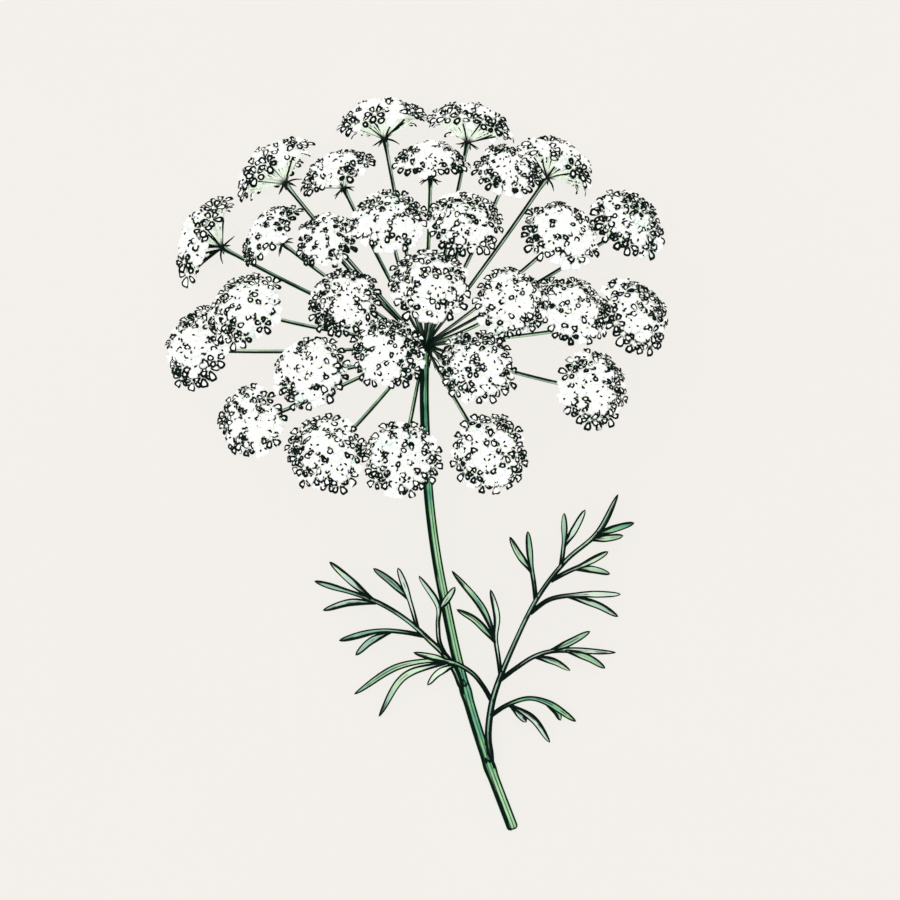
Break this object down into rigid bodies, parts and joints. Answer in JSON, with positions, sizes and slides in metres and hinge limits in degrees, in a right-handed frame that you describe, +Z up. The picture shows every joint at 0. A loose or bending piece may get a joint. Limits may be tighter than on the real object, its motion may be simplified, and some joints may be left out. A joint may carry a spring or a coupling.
{
  "type": "bishops flower, cut stem",
  "caption": "Cut flower stem with a wide lacy compound umbel of small white domed heads on thin green rays and two feathery divided leaves, lying on a surface.",
  "frame": {"origin": "on the surface that the flower lies on, below the middle of its bounding box", "axes": "+Z up from the surface; +Y along the stem from its cut foot to the umbel; +X to the right as seen from above with the umbel away from the viewer"},
  "size_m": [0.1332, 0.1967, 0.0849],
  "materials": {
    "stem": "satin",
    "leaf": "satin",
    "stalk": "satin",
    "petal": "matte"
  },
  "bodies": {
    "root": {"stem": "stem", "leaf_lower": "leaf", "leaf_upper": "leaf", "umbel_stalks": "stalk", "umbellet_01": "petal", "umbellet_02": "petal", "umbellet_03": "petal", "umbellet_04": "petal", "umbellet_05": "petal", "umbellet_06": "petal", "umbellet_07": "petal", "umbellet_08": "petal", "umbellet_09": "petal", "umbellet_10": "petal", "umbellet_11": "petal", "umbellet_12": "petal", "umbellet_13": "petal", "umbellet_14": "petal", "umbellet_15": "petal", "umbellet_16": "petal", "umbellet_17": "petal", "umbellet_18": "petal", "umbellet_19": "petal", "umbellet_20": "petal", "umbellet_21": "petal", "umbellet_22": "petal", "umbellet_23": "petal", "umbellet_24": "petal", "umbellet_25": "petal", "umbellet_26": "petal", "umbellet_27": "petal", "umbellet_28": "petal", "umbellet_29": "petal"}
  },
  "joints": []
}
